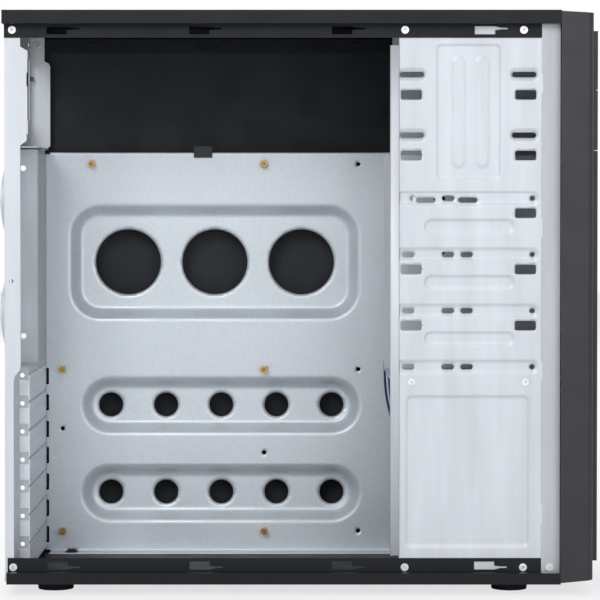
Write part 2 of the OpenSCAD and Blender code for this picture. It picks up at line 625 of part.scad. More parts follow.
// Blind rivet set from the left; the sheets lie between y and y + grip
module rivet(x, y, z, grip) {
    difference() {
        union() {
            rod_y(x, z, 2.75, y - 0.9, y);
            rod_y(x, z, rivet_r, y - eps, y + grip + eps);
            rod_y(x, z, 2.2, y + grip, y + grip + 1.2);
        }
        rod_y(x, z, 0.9, y - 1, y + grip - 0.2);
    }
}

module rivets() {
    color("#d8d8d6") {
        for (s = [0, 1]) mirror([0, s, 0]) {
            for (x = rivet_xs) rivet(x, -y_fl, rivet_z_top, s == 1 && x > x_cage ? sheet : 2 * sheet);
            for (x = rivet_xs) rivet(x, -y_fl, rivet_z_bot, s == 1 && x > x_cage ? sheet : 2 * sheet);
            rivet(rivet_pan_xs[3], -y_fl, rivet_z_bot, s == 1 ? sheet : 2 * sheet);
        }
        for (x = cage_rivet_xs) rivet(x, -y_in, rivet_z, 2 * sheet);
    }
}

// Thumb screws that hold the right cover to the rear wall
module panel_screws() {
    color("#8f9498") for (p = panel_screws) difference() {
        union() {
            rod_x(p[0], p[1], 5.4, x_rear - sheet - 6, x_rear - sheet - fit);
            rod_x(p[0], p[1], 1.6, x_rear - sheet - 0.2, x_rear + 4);
        }
        between([x_rear - sheet - 7, p[0] - 4, p[1] - 0.6], [x_rear - sheet - 4.8, p[0] + 4, p[1] + 0.6]);
    }
}

module foot(i) {
    color("#26262a") translate([foot_at[i][0], foot_at[i][1], 0]) difference() {
        union() {
            cylinder(r1 = foot_r - 0.9, r2 = foot_r, h = foot_h);
            cylinder(r = 3, h = foot_h + sheet + 0.2);
            translate([0, 0, foot_h + sheet + 0.1]) cylinder(r1 = 4.2, r2 = 3, h = 1.6);
        }
        translate([0, 0, -eps]) cylinder(r = 4.5, h = 3);
    }
}

// ---------- right side cover ----------

module right_side_panel() {
    z0 = z_ledge_bot + 0.3;
    z1 = z_ledge_top - 0.3;
    x1 = x_front - 0.4;
    hem_y = y_fl + 1.3;
    color(black) difference() {
        union() {
            between([x_rear - sheet, y_out - sheet, z0], [x1, y_out, z1]);
            for (z = [z0, z1 - sheet]) between([x_rear + 1, hem_y, z], [x1, y_out, z + sheet]);
            between([x1 - sheet, hem_y, z0], [x1, y_out, z1]);
            // rear return that the thumb screws clamp to the rear wall
            between([x_rear - sheet, y_fl - 12, z0 + 12], [x_rear - eps, y_out, z1 - 12]);
            for (i = [0 : notch_count - 1], up = [0, 1]) panel_hook(notch_x(i), up, up == 1 ? z1 : z0);
        }
        for (p = panel_screws) rod_x(p[0], p[1], screw_r, x_rear - 3, x_rear + 1);
    }
}

// Hook lanced from a hem: its neck lies in a keyhole's tail and its finger behind the flange
module panel_hook(x, up, z_hem) {
    zc = up == 1 ? notch_z_top - 1.7 : notch_z_bot + 1.7;
    neck = notch_w + 4.4;
    between([x + neck - 3, y_fl - sheet - 0.4, zc - sheet / 2], [x + neck + 3.6, y_fl + 1.3 + sheet, zc + sheet / 2]);
    between([x + neck - 3, y_fl - sheet - 2, zc - sheet / 2], [x + neck + 6, y_fl - sheet - 0.4, zc + sheet / 2]);
    between([x + neck - 3, y_fl + 1.3, min(zc - sheet / 2, z_hem)],
        [x + neck + 3.6, y_fl + 1.3 + sheet, max(zc + sheet / 2, z_hem)]);
}

// ---------- front ----------

// Side profile of the bezel: it narrows a little towards its front
module bezel_profile(inset) {
    polygon([[x_front - 1, z_bot + 1 + inset], [x_front, z_bot + 1 + inset], [x_bezel - inset, z_bot + 3.2 + inset],
        [x_bezel - inset, z_top - 2 - inset], [x_front, z_top - 0.7 - inset], [x_front - 1, z_top - 0.7 - inset]]);
}

// Plan of the bezel, with round front edges
module bezel_plan(inset) {
    r = 5 - inset;
    y = y_out - inset;
    x1 = x_bezel - inset;
    translate([x_front - 1, -y]) square([x1 - r - x_front + 1, 2 * y]);
    translate([x1 - r - eps, -y + r]) square([r + eps, 2 * (y - r)]);
    for (s = [-1, 1]) translate([x1 - r, s * (y - r)]) circle(r = r);
}

module bezel_solid(inset) {
    intersection() {
        plate_xz(-y_out, y_out) bezel_profile(inset);
        linear_extrude(z_top) bezel_plan(inset);
    }
}

module front_bezel() {
    color(charcoal) difference() {
        union() {
            difference() {
                bezel_solid(0);
                bezel_solid(bezel_wall);
                between([x_front - 2, -y_out - 1, 0], [x_front, y_out + 1, z_top + 1]);
            }
            for (z = post_left) rod_x(-y_fl + 8, z, post_r, x_front - 5, x_bezel - bezel_wall / 2);
            for (z = post_right) rod_x(y_fl - 8, z, post_r, x_front - 5, x_bezel - bezel_wall / 2);
            for (b = [control_board, port_board], z = [b[0] + board_hole_up, b[1] - board_hole_up])
                rod_x(strip_y, z, 2.6, board_x, x_bezel - bezel_wall / 2);
        }
        between([x_bezel - bezel_wall - 1, bay_y0, bay_zs[1] + 0.6], [x_bezel + 1, bay_y1, bay_zs[0] + 40.4]);
        rod_x(strip_y, power_z, power_r + 2.4, x_bezel - bezel_wall - 1, x_bezel + 1);
        rod_x(strip_y, reset_z, reset_r + 2.4, x_bezel - bezel_wall - 1, x_bezel + 1);
        for (z = led_zs) rod_x(strip_y, z, 1.7, x_bezel - bezel_wall - 1, x_bezel + 1);
        for (z = jack_zs) rod_x(strip_y, z, 3.3, x_bezel - bezel_wall - 1, x_bezel + 1);
        for (z = usb_zs) between([x_bezel - bezel_wall - 1, strip_y - 3.2, z - 7], [x_bezel + 1, strip_y + 3.2, z + 7]);
        for (i = [0 : 8]) between([x_bezel - bezel_wall - 1, -60, z_bot + 40.5 + 8 * i], [x_bezel + 1, 40, z_bot + 43.5 + 8 * i]);
        for (b = [control_board, port_board], z = [b[0] + board_hole_up, b[1] - board_hole_up])
            rod_x(strip_y, z, 1.1, board_x - 1, board_x + 6);
        for (z = [slab_z0 + 12, bay_zs[1] - 14], y = [-70, 50])
            rod_x(y, z, 2.1, x_bezel - bezel_wall - 1, x_bezel + 1);
    }
}

// Cover of a 5.25 inch bay, with a clip arm on each side
module bay_cover(i) {
    z0 = bay_zs[i] + (i == 0 ? -0.6 : slab_gap - 0.9);
    z1 = i == 0 ? slab_z1 : bay_zs[0] - 0.6 - slab_gap;
    color(charcoal) union() {
        between([x_bezel + fit, bay_y0 - 0.6, z0], [x_slab, bay_y1 + 0.8, z1]);
        for (y = [bay_y0 + moving_gap, bay_y1 - moving_gap - 1.6])
            between([x_bezel - 14, y, z0 + 10], [x_bezel + 1, y + 1.6, z1 - 10]);
    }
}

module lower_fascia() {
    z1 = bay_zs[1] - 0.9;
    color(charcoal) difference() {
        union() {
            between([x_bezel, bay_y0 - 0.6, slab_z0], [x_slab, bay_y1 + 0.8, z1]);
            for (z = [slab_z0 + 12, bay_zs[1] - 14], y = [-70, 50]) rod_x(y, z, 2, x_bezel - 4, x_bezel + eps);
        }
        for (i = [0 : 8]) between([x_bezel - 1, -60, z_bot + 40.5 + 8 * i], [x_slab + 1, 40, z_bot + 43.5 + 8 * i]);
    }
}

module control_strip() {
    color(charcoal) difference() {
        between([x_bezel, strip_y0, slab_z0], [x_slab, slab_y, slab_z1]);
        rod_x(strip_y, power_z, power_r + moving_gap, x_bezel - 1, x_slab + 1);
        rod_x(strip_y, reset_z, reset_r + moving_gap, x_bezel - 1, x_slab + 1);
        for (z = led_zs) rod_x(strip_y, z, 1.6, x_bezel - 1, x_slab + 1);
        for (z = jack_zs) rod_x(strip_y, z, 3.1, x_bezel - 1, x_slab + 1);
        for (z = usb_zs) between([x_bezel - 1, strip_y - 3, z - 6.7], [x_slab + 1, strip_y + 3, z + 6.7]);
    }
}

// Push button: cap, retaining collar and the stem that works the switch
module button(z, r, stem_r) {
    rod_x(strip_y, z, r, x_bezel - 0.3, x_slab - 0.3);
    rod_x(strip_y, z, r + 1.4, x_bezel - 1.5, x_bezel - 0.3 + eps);
    rod_x(strip_y, z, stem_r, x_bezel - 9, x_bezel - 1.4);
}
module power_button() { color("#2c2c2f") button(power_z, power_r, 2); }
module reset_button() { color("#2c2c2f") button(reset_z, reset_r, 1.4); }

// Momentary switch on the board; the button's stem runs in its bore
module push_switch(z, stem_r) {
    color("#17181a") difference() {
        between([board_x, strip_y - 4, z - 4], [x_bezel - 8, strip_y + 4, z + 4]);
        rod_x(strip_y, z, stem_r + moving_gap, board_x + 0.8, x_bezel - 7);
    }
}
module power_switch() { push_switch(power_z, 2); }
module reset_switch() { push_switch(reset_z, 1.4); }

// Light pipe with its lamp, from the board to the strip's face
module light_pipe(z) {
    union() {
        rod_x(strip_y, z, 1.5, board_x + 1, x_slab - 0.2);
        rod_x(strip_y, z, 2.2, board_x, board_x + 1.2);
    }
}
module power_led() { color("#7fd08a") light_pipe(led_zs[0]); }
module drive_led() { color("#d98a6a") light_pipe(led_zs[1]); }

module jack(z) {
    difference() {
        union() {
            between([board_x, strip_y - 5, z - 5], [x_bezel - bezel_wall - 0.2, strip_y + 5, z + 5]);
            rod_x(strip_y, z, 3, x_bezel - bezel_wall - 1, x_slab - 0.3);
        }
        rod_x(strip_y, z, 1.8, board_x + 2, x_slab);
    }
}
module headphone_jack() { color("#6fae6a") jack(jack_zs[0]); }
module microphone_jack() { color("#d08aa0") jack(jack_zs[1]); }

module usb_socket(z) {
    color("#c9ccd0") difference() {
        between([board_x, strip_y - 2.9, z - 6.6], [x_slab - 0.4, strip_y + 2.9, z + 6.6]);
        difference() {
            between([board_x + 4, strip_y - 2.4, z - 6.1], [x_slab, strip_y + 2.4, z + 6.1]);
            between([board_x + 3, strip_y - 2, z - 5.4], [x_slab - 2.4, strip_y - 0.2, z + 5.4]);
        }
    }
}

module circuit_board(b) {
    color("#2f6b3f") difference() {
        between([board_x - 1.6, strip_y - 9.5, b[0]], [board_x, strip_y + 9.5, b[1]]);
        for (z = [b[0] + board_hole_up, b[1] - board_hole_up]) rod_x(strip_y, z, 1.5, board_x - 2, board_x + 1);
    }
}

module board_screws() {
    color("#a9adb2") for (b = [control_board, port_board], z = [b[0] + board_hole_up, b[1] - board_hole_up]) {
        rod_x(strip_y, z, 2.4, board_x - 3.2, board_x - 1.6);
        rod_x(strip_y, z, 1, board_x - 1.7, board_x + 5.5);
    }
}

// ---------- leads ----------

module switch_lead() { color("#24407a") tube(switch_route, switch_lead_d); }
module port_lead() { color("#3b434b") tube(port_route, port_lead_d); }

// Header plugs that lie on the pan at the end of each lead
module switch_plug() { color("#1c1d20") between([156, 19.4, 8.4], [170, 24.6, 11]); }
module port_plug() { color("#1c1d20") between([158, 26, 8.4], [172, 34, 13.8]); }

// Saddle that holds both leads to the cage
module lead_clip() {
    x = x_cage + 10;
    y = small_bay_y1 + sheet;
    color("#e4e4e0") difference() {
        union() {
            between([x - 2, y, 161], [x + 2, y + 9, 193]);
            rod_y(x, 177, 1, y - 2, y + 1);
        }
        between([x - 3, y + 1.2, 162.5], [x + 3, y + 7.8, 191.5]);
    }
}

top_cover();
bottom_pan();
rear_panel();
motherboard_tray();
front_frame();
cage_left_wall();
cage_right_wall();
right_side_panel();
io_plate();
for (i = [0 : 6]) slot_cover(i);
standoffs();
tray_clip();
rivets();
panel_screws();
foot(0);  // foot_rear_left
foot(1);  // foot_rear_right
foot(2);  // foot_front_left
foot(3);  // foot_front_right
front_bezel();
bay_cover(0);  // bay_cover_upper
bay_cover(1);  // bay_cover_lower
lower_fascia();
control_strip();
power_button();
reset_button();
power_switch();
reset_switch();
power_led();
drive_led();
headphone_jack();
microphone_jack();
usb_socket(usb_zs[0]);  // usb_socket_upper
usb_socket(usb_zs[1]);  // usb_socket_lower
circuit_board(control_board);
circuit_board(port_board);
board_screws();
switch_lead();
switch_plug();
port_lead();
port_plug();
lead_clip();
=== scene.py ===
"""Looks of an open desktop computer tower, as an add-on: finishes for the solid pieces, pressed
sheets for the tray and the cage wall, turned thumb screws, round leads, and the stage."""
import json
import math

import bpy
import numpy as np
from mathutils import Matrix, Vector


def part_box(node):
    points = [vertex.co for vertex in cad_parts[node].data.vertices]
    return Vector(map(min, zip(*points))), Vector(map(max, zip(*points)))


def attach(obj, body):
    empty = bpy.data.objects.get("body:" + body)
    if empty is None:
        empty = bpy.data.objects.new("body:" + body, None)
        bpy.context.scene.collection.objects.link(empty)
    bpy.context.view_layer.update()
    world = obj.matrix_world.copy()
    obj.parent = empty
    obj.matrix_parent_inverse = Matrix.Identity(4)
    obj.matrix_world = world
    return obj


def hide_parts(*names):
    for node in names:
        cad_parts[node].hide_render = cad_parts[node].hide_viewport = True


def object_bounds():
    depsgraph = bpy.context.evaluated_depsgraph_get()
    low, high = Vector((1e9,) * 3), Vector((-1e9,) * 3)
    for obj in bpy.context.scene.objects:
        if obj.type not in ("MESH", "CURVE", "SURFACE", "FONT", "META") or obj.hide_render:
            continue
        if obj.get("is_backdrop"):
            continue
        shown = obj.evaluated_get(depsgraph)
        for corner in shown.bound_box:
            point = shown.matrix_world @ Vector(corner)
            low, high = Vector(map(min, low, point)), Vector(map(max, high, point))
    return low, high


bl_info = {
    "name": "Computer Tower",
    "version": (1, 0, 0),
    "blender": (4, 5, 0),
    "location": "View3D > Sidebar > Tower",
    "description": "Finishes and soft detail of an open desktop computer tower",
    "category": "Add Mesh",
}

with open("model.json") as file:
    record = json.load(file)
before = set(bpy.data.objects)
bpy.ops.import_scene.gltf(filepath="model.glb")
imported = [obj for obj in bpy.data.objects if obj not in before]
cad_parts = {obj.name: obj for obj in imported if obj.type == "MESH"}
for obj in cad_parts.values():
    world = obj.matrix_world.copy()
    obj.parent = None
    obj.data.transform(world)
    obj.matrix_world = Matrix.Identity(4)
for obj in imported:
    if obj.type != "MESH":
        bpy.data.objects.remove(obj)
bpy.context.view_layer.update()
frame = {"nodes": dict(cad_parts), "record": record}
NODES = frame["nodes"]
MM = 0.001      # metres in a millimetre
SHEET = 0.8     # thickness of the case's steel, in millimetres


# ---------- measures taken from the frame ----------

def corners(node):
    """Lowest and highest corner of a node, as arrays in millimetres."""
    low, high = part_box(node)
    return np.array(low) / MM, np.array(high) / MM


def mount(name):
    """A mount's place in millimetres."""
    found = [m for m in frame["record"]["mounts"] if m["name"] == name]
    return np.array(found[0]["pos_m"]) / MM


def opening(name):
    """Low and high corner of a stated opening, in millimetres."""
    found = [o for o in frame["record"]["physics"]["openings"] if o["name"] == name]
    return np.array(found[0]["box_m"]) / MM


# ---------- surfaces ----------

def mesh_object(name, verts_mm, faces, body, smooth=True):
    """A mesh piece from an array of points in millimetres and an array of faces; it rides on a body."""
    mesh = bpy.data.meshes.new(name)
    mesh.from_pydata((np.asarray(verts_mm) * MM).tolist(), [], np.asarray(faces).tolist())
    mesh.validate()
    mesh.polygons.foreach_set("use_smooth", [smooth] * len(mesh.polygons))
    mesh.update()
    obj = bpy.data.objects.new(name, mesh)
    bpy.context.scene.collection.objects.link(obj)
    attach(obj, body)
    return obj


def grid_faces(rows, cols, wrap=False):
    """Quads of a rows by cols grid of points; wrap joins the last column to the first."""
    index = np.arange(rows * cols).reshape(rows, cols)
    right = np.roll(index, -1, axis=1)
    last = cols if wrap else cols - 1
    quads = np.stack([index[:-1], right[:-1], right[1:], index[1:]], axis=-1)
    return quads[:, :last].reshape(-1, 4)


def drop_loose(verts, faces):
    """Keeps only the points that the faces use, and renumbers the faces."""
    used = np.unique(faces)
    place = np.full(len(verts), -1)
    place[used] = np.arange(len(used))
    return verts[used], place[faces]


def smooth_route(points, steps):
    """Catmull-Rom curve: on each span the cubic whose slope at a point is half the step between
    that point's neighbours, at evenly spaced parameters."""
    p = np.asarray(points, float)
    ext = np.vstack([p[:1], p, p[-1:]])
    t = np.linspace(0, 1, steps, endpoint=False)[None, :, None]
    a, b, c, d = (ext[i:len(p) - 1 + i][:, None, :] for i in range(4))
    spans = 0.5 * (2 * b + (c - a) * t + (2 * a - 5 * b + 4 * c - d) * t**2 + (3 * b - a - 3 * c + d) * t**3)
    return np.vstack([spans.reshape(-1, 3), p[-1:]])


def round_box_distance(x, z, centre, size, radius):
    """Signed distance to a rounded rectangle: the length of the positive part of
    (|offset| - half size + radius), plus the negative part's larger term, minus the radius."""
    qx = np.abs(x - centre[0]) - size[0] / 2 + radius
    qz = np.abs(z - centre[1]) - size[1] / 2 + radius
    outside = np.hypot(np.maximum(qx, 0), np.maximum(qz, 0))
    return outside + np.minimum(np.maximum(qx, qz), 0) - radius


def smooth_step(share):
    """0 below 0 and 1 above 1, level at both ends."""
    t = np.clip(share, 0, 1)
    return t * t * (3 - 2 * t)


def thicken(obj, thickness_mm, side):
    """Gives a surface its thickness: -1 puts it behind the surface, 0 on both sides."""
    solidify = obj.modifiers.new("thickness", "SOLIDIFY")
    solidify.thickness, solidify.offset = thickness_mm * MM, side


# ---------- materials ----------

def linear(rgb):
    """A colour given as 0 to 255 display values, as a linear RGBA colour."""
    c = np.asarray(rgb, float) / 255
    lin = np.where(c <= 0.04045, c / 12.92, ((c + 0.055) / 1.055) ** 2.4)
    return (*lin.tolist(), 1.0)


class Finish:
    """Builds one node material: a Principled shader with patterns on Object coordinates."""

    def __init__(self, name, roughness, metallic=0.0, **sockets):
        self.mat = bpy.data.materials.new(name)
        self.mat.use_nodes = True
        self.tree = self.mat.node_tree
        self.shader = self.tree.nodes["Principled BSDF"]
        self.shader.inputs["Roughness"].default_value = roughness
        self.shader.inputs["Metallic"].default_value = metallic
        for key, value in sockets.items():
            self.shader.inputs[key.replace("_", " ")].default_value = value
        self.coords = self.tree.nodes.new("ShaderNodeTexCoord")
        self.height = None

    def pattern(self, kind, scale, stretch=(1, 1, 1), detail=4.0):
        """A noise or cell pattern, stretched along the axes; returns its value socket."""
        mapping = self.tree.nodes.new("ShaderNodeMapping")
        mapping.inputs["Scale"].default_value = stretch
        self.tree.links.new(self.coords.outputs["Object"], mapping.inputs["Vector"])
        tex = self.tree.nodes.new("ShaderNodeTexNoise" if kind == "noise" else "ShaderNodeTexVoronoi")
        tex.inputs["Scale"].default_value = scale
        if kind == "noise":
            tex.inputs["Detail"].default_value = detail
        self.tree.links.new(mapping.outputs["Vector"], tex.inputs["Vector"])
        return tex.outputs["Fac"] if kind == "noise" else tex.outputs["Distance"]

    def colours(self, value, dark, light, low=0.3, high=0.7):
        """Base colour that runs from dark to light over a pattern's value."""
        ramp = self.tree.nodes.new("ShaderNodeValToRGB")
        for stop, place, colour in zip(ramp.color_ramp.elements, (low, high), (dark, light)):
            stop.position, stop.color = place, colour
        self.tree.links.new(value, ramp.inputs["Fac"])
        self.tree.links.new(ramp.outputs["Color"], self.shader.inputs["Base Color"])
        return self

    def gloss(self, value, low, high):
        """Roughness that runs from low to high over a pattern's value."""
        spread = self.tree.nodes.new("ShaderNodeMapRange")
        for key, number in (("From Min", 0.3), ("From Max", 0.7), ("To Min", low), ("To Max", high)):
            spread.inputs[key].default_value = number
        self.tree.links.new(value, spread.inputs["Value"])
        self.tree.links.new(spread.outputs["Result"], self.shader.inputs["Roughness"])
        return self

    def relief(self, value, distance, strength=0.5):
        """Bump from a pattern's value."""
        bump = self.tree.nodes.new("ShaderNodeBump")
        bump.inputs["Strength"].default_value = strength
        bump.inputs["Distance"].default_value = distance
        if self.height:
            self.tree.links.new(self.height, bump.inputs["Normal"])
        self.tree.links.new(value, bump.inputs["Height"])
        self.height = bump.outputs["Normal"]
        self.tree.links.new(self.height, self.shader.inputs["Normal"])
        return self


def rolled_steel(name, rgb, along=(1, 1, 1)):
    """Pale zinc-coated sheet: faint streaks along the rolling direction, cloudy gloss."""
    f = Finish(name, 0.45, 0.18)
    base = np.asarray(rgb, float)
    streaks = f.pattern("noise", 90, along)
    clouds = f.pattern("noise", 14, detail=3)
    f.colours(streaks, linear(base * 0.965), linear(base * 1.02))
    f.gloss(clouds, 0.42, 0.5)
    return f.relief(streaks, 0.00004, 0.25).mat


def galvanised(name, rgb):
    """Hot-dipped sheet: cells of spangle a few millimetres across under cloudy gloss."""
    f = Finish(name, 0.42, 0.25)
    base = np.asarray(rgb, float)
    spangle = f.pattern("cells", 330)
    clouds = f.pattern("noise", 22)
    f.colours(spangle, linear(base * 0.985), linear(base * 1.01), 0.1, 0.6)
    f.gloss(clouds, 0.32, 0.5)
    return f.relief(f.pattern("noise", 260, detail=2), 0.00003, 0.25).mat


def textured_paint(name, rgb, rough=0.5):
    """Black powder coat: fine orange-peel grain with slight wear in its tone."""
    f = Finish(name, rough, Specular_IOR_Level=0.22)
    base = np.asarray(rgb, float)
    f.colours(f.pattern("noise", 30), linear(base * 0.94), linear(base * 1.06))
    f.gloss(f.pattern("noise", 45), rough - 0.06, rough + 0.08)
    return f.relief(f.pattern("noise", 1500, detail=2), 0.00006, 0.5).mat


def moulded(name, rgb, rough=0.45, grain=1900, depth=0.00004, metallic=0.0):
    """Moulded plastic: spark-eroded grain and a faint cloudiness."""
    f = Finish(name, rough, metallic, Specular_IOR_Level=0.32)
    base = np.asarray(rgb, float)
    f.colours(f.pattern("noise", 40), linear(base * 0.94), linear(base * 1.06))
    f.gloss(f.pattern("noise", 60), rough - 0.05, rough + 0.06)
    return f.relief(f.pattern("noise", grain, detail=1), depth, 0.4).mat


def turned_metal(name, rgb, rough=0.3):
    """Turned or drawn metal: fine rings of tool marks and spots of dulling."""
    f = Finish(name, rough, 0.85)
    base = np.asarray(rgb, float)
    f.colours(f.pattern("noise", 300), linear(base * 0.9), linear(base * 1.05))
    f.gloss(f.pattern("noise", 500), rough - 0.08, rough + 0.12)
    return f.relief(f.pattern("noise", 900, (0.2, 6, 0.2)), 0.00002, 0.3).mat


def paint(nodes, mat):
    """Gives CAD nodes a material in all their slots."""
    for name in nodes:
        obj = NODES[name]
        if not obj.material_slots:
            obj.data.materials.append(None)
        for place in obj.material_slots:
            place.material = mat


# ---------- sizes and colours that a user may change ----------

class TowerSizes(bpy.types.PropertyGroup):
    bend_radius: bpy.props.FloatProperty(
        name="Bend radius", description="Radius of the tray's folds, in mm", default=1.2, min=0.5, max=3)
    press_depth: bpy.props.FloatProperty(
        name="Recess depth", description="Depth of the tray's pressed recesses, in mm", default=9.0, min=4, max=12)
    rim_width: bpy.props.FloatProperty(
        name="Rim width", description="Width of the rolled rim of a tray hole, in mm", default=2.0, min=0.5, max=4)
    knurls: bpy.props.IntProperty(
        name="Knurls", description="Ridges round a thumb screw's head", default=32, min=12, max=60)


class TowerColours(bpy.types.PropertyGroup):
    steel: bpy.props.FloatVectorProperty(
        name="Steel", description="Cage and rear wall, 0 to 255", default=(206, 211, 217), size=3)
    tray: bpy.props.FloatVectorProperty(
        name="Tray", description="Galvanised tray, 0 to 255", default=(208, 215, 222), size=3)
    shell: bpy.props.FloatVectorProperty(
        name="Cover and pan", description="Black paint, 0 to 255", default=(17, 19, 24), size=3)
    bezel: bpy.props.FloatVectorProperty(
        name="Bezel", description="Charcoal plastic, 0 to 255", default=(46, 45, 48), size=3)


# ---------- operators ----------

class TOWER_OT_stage(bpy.types.Operator):
    """Floor, world, lamps and camera"""
    bl_idname = "tower.stage"
    bl_label = "Stage and camera"

    camera_place = (-1.3, -1826.0, 275.2)    # millimetres
    pitch = 1.2                              # degrees below level
    lens = 147.7
    shift = (0.0108, -0.072)
    floor_half = 6.0                         # half the floor's side, in metres
    floor_drop = 0.0002                      # keeps the floor just clear of the feet
    floor_glow = 0.72                        # share of plain white in the floor that the camera sees
    room_light = 0.36                        # strength of the surroundings as a lamp
    aim = (0, 0, 0.2)
    lamps = (("key", (-0.9, -2.9, 1.8), 1.3, 42), ("fill", (1.2, -3.0, 0.8), 1.5, 18),
             ("top", (0.2, 0.2, 2.6), 2.0, 20), ("back", (-0.8, 2.8, 1.6), 1.8, 34))

    def execute(self, context):
        scene = context.scene
        scene.view_settings.view_transform = "Standard"
        data = bpy.data.cameras.new("camera")
        data.lens = self.lens
        data.sensor_width = 36
        data.shift_x, data.shift_y = self.shift
        data.clip_end = 50
        cam = bpy.data.objects.new("camera", data)
        cam.location = [v * MM for v in self.camera_place]
        cam.rotation_euler = (math.radians(90 - self.pitch), 0, 0)
        scene.collection.objects.link(cam)
        scene.camera = cam
        self.floor(scene)
        self.world(scene)
        for name, place, size, power in self.lamps:
            self.lamp(name, place, size, power)
        return {"FINISHED"}

    def floor(self, scene):
        """A white floor: part of what the camera sees of it is plain white, so its far edge is lost."""
        low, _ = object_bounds()
        side, z = self.floor_half, float(low[2]) - self.floor_drop
        mesh = bpy.data.meshes.new("floor")
        rim = [(-side, -side, z), (side, -side, z), (side, side, z), (-side, side, z)]
        mesh.from_pydata(rim, [], [(0, 1, 2, 3)])
        obj = bpy.data.objects.new("floor", mesh)
        scene.collection.objects.link(obj)
        f = Finish("floor_white", 0.8)
        f.shader.inputs["Base Color"].default_value = (0.93, 0.93, 0.93, 1)
        tree = f.tree
        path, glow = tree.nodes.new("ShaderNodeLightPath"), tree.nodes.new("ShaderNodeEmission")
        share, mix = tree.nodes.new("ShaderNodeMath"), tree.nodes.new("ShaderNodeMixShader")
        share.operation = "MULTIPLY"
        share.inputs[1].default_value = self.floor_glow
        tree.links.new(path.outputs["Is Camera Ray"], share.inputs[0])
        tree.links.new(share.outputs[0], mix.inputs[0])
        tree.links.new(f.shader.outputs[0], mix.inputs[1])
        tree.links.new(glow.outputs[0], mix.inputs[2])
        tree.links.new(mix.outputs[0], tree.nodes["Material Output"].inputs["Surface"])
        mesh.materials.append(f.mat)
        obj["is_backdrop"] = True

    def world(self, scene):
        """Plain white to the camera, mirrors and glass, and a dimmer cool white as a lamp."""
        world = bpy.data.worlds.new("studio")
        world.use_nodes = True
        tree = world.node_tree
        tree.nodes.clear()
        path = tree.nodes.new("ShaderNodeLightPath")
        glossy = tree.nodes.new("ShaderNodeMath")
        both = tree.nodes.new("ShaderNodeMath")
        for node, a, b in ((glossy, path.outputs["Is Camera Ray"], path.outputs["Is Glossy Ray"]),
                           (both, glossy.outputs[0], path.outputs["Is Transmission Ray"])):
            node.operation = "ADD"
            node.use_clamp = True
            tree.links.new(a, node.inputs[0])
            tree.links.new(b, node.inputs[1])
        dim, white = tree.nodes.new("ShaderNodeBackground"), tree.nodes.new("ShaderNodeBackground")
        for node, colour, strength in ((dim, (0.94, 0.97, 1.0, 1), self.room_light), (white, (1, 1, 1, 1), 1.0)):
            node.inputs["Color"].default_value = colour
            node.inputs["Strength"].default_value = strength
        mix = tree.nodes.new("ShaderNodeMixShader")
        out = tree.nodes.new("ShaderNodeOutputWorld")
        tree.links.new(both.outputs[0], mix.inputs[0])
        tree.links.new(dim.outputs[0], mix.inputs[1])
        tree.links.new(white.outputs[0], mix.inputs[2])
        tree.links.new(mix.outputs[0], out.inputs["Surface"])
        scene.world = world

    def lamp(self, name, place, size, power):
        """A square area lamp that faces the aim."""
        data = bpy.data.lights.new(name, "AREA")
        data.size = size
        data.energy = power
        obj = bpy.data.objects.new(name, data)
        obj.location = place
        towards = np.array(self.aim) - np.array(place)
        towards = towards / np.linalg.norm(towards)
        obj.rotation_euler = (math.acos(-towards[2]), 0, math.atan2(towards[0], -towards[1]) + math.pi)
        bpy.context.scene.collection.objects.link(obj)


class TOWER_OT_leads(bpy.types.Operator):
    """The two front panel leads, from their boards to the plugs that lie on the pan"""
    bl_idname = "tower.leads"
    bl_label = "Front panel leads"

    switch_route = [
        (196, 74, 302.4), (196, 74, 296), (194, 69, 281), (191.4, 58, 262), (189.8, 48, 248),
        (184, 44, 241), (173, 41, 232), (156, 35, 214), (132, 28, 197), (106, 23, 187), (84, 22.5, 185),
        (72.5, 22.5, 177), (67.8, 22, 163), (67.3, 22, 147), (68.4, 22, 133), (71.5, 23, 118), (76.5, 24, 101),
        (84, 25, 80), (94, 25, 56), (106, 24, 33), (118, 23, 16), (130, 22, 10), (143, 22, 9.6), (156, 22, 9.6)]
    port_route = [
        (196, 78, 210.6), (196, 77.5, 215), (194.5, 72, 223), (191.5, 62, 229), (189.6, 52, 231),
        (185, 44, 230), (176, 39, 222), (160, 33, 204), (136, 29, 186), (108, 25.5, 174), (86, 24, 171),
        (76, 24, 165), (72.3, 24.5, 154), (72, 25.5, 141), (73.6, 27, 127), (77, 29, 112), (83, 31, 95),
        (91, 32, 74), (101, 32, 51), (112, 31, 30), (124, 30, 16), (136, 30, 11), (147, 30, 10.8), (158, 30, 10.8)]

    def execute(self, context):
        blue = moulded("lead_blue", (30, 48, 104), 0.35, 900, 0.00002)
        grey = moulded("lead_grey", (52, 58, 66), 0.4, 900, 0.00002)
        self.lead("switch_lead", self.switch_route, 1.8, blue, "blue_insulation")
        self.lead("port_lead", self.port_route, 4.0, grey, "grey_insulation")
        return {"FINISHED"}

    def lead(self, node, route, diameter, mat, slot):
        """One round wire that stands for a CAD lead and keeps its plug."""
        points = smooth_route(route, 6) * MM
        curve = bpy.data.curves.new(node + "_wire", "CURVE")
        curve.dimensions = "3D"
        curve.bevel_depth = diameter / 2 * MM
        curve.bevel_resolution = 3
        curve.use_fill_caps = True
        spline = curve.splines.new("POLY")
        spline.points.add(len(points) - 1)
        spline.points.foreach_set("co", np.hstack([points, np.ones((len(points), 1))]).ravel())
        spline.use_smooth = True
        curve.materials.append(mat)
        obj = bpy.data.objects.new(node + "_wire", curve)
        bpy.context.scene.collection.objects.link(obj)
        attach(obj, "chassis")
        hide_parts(node)


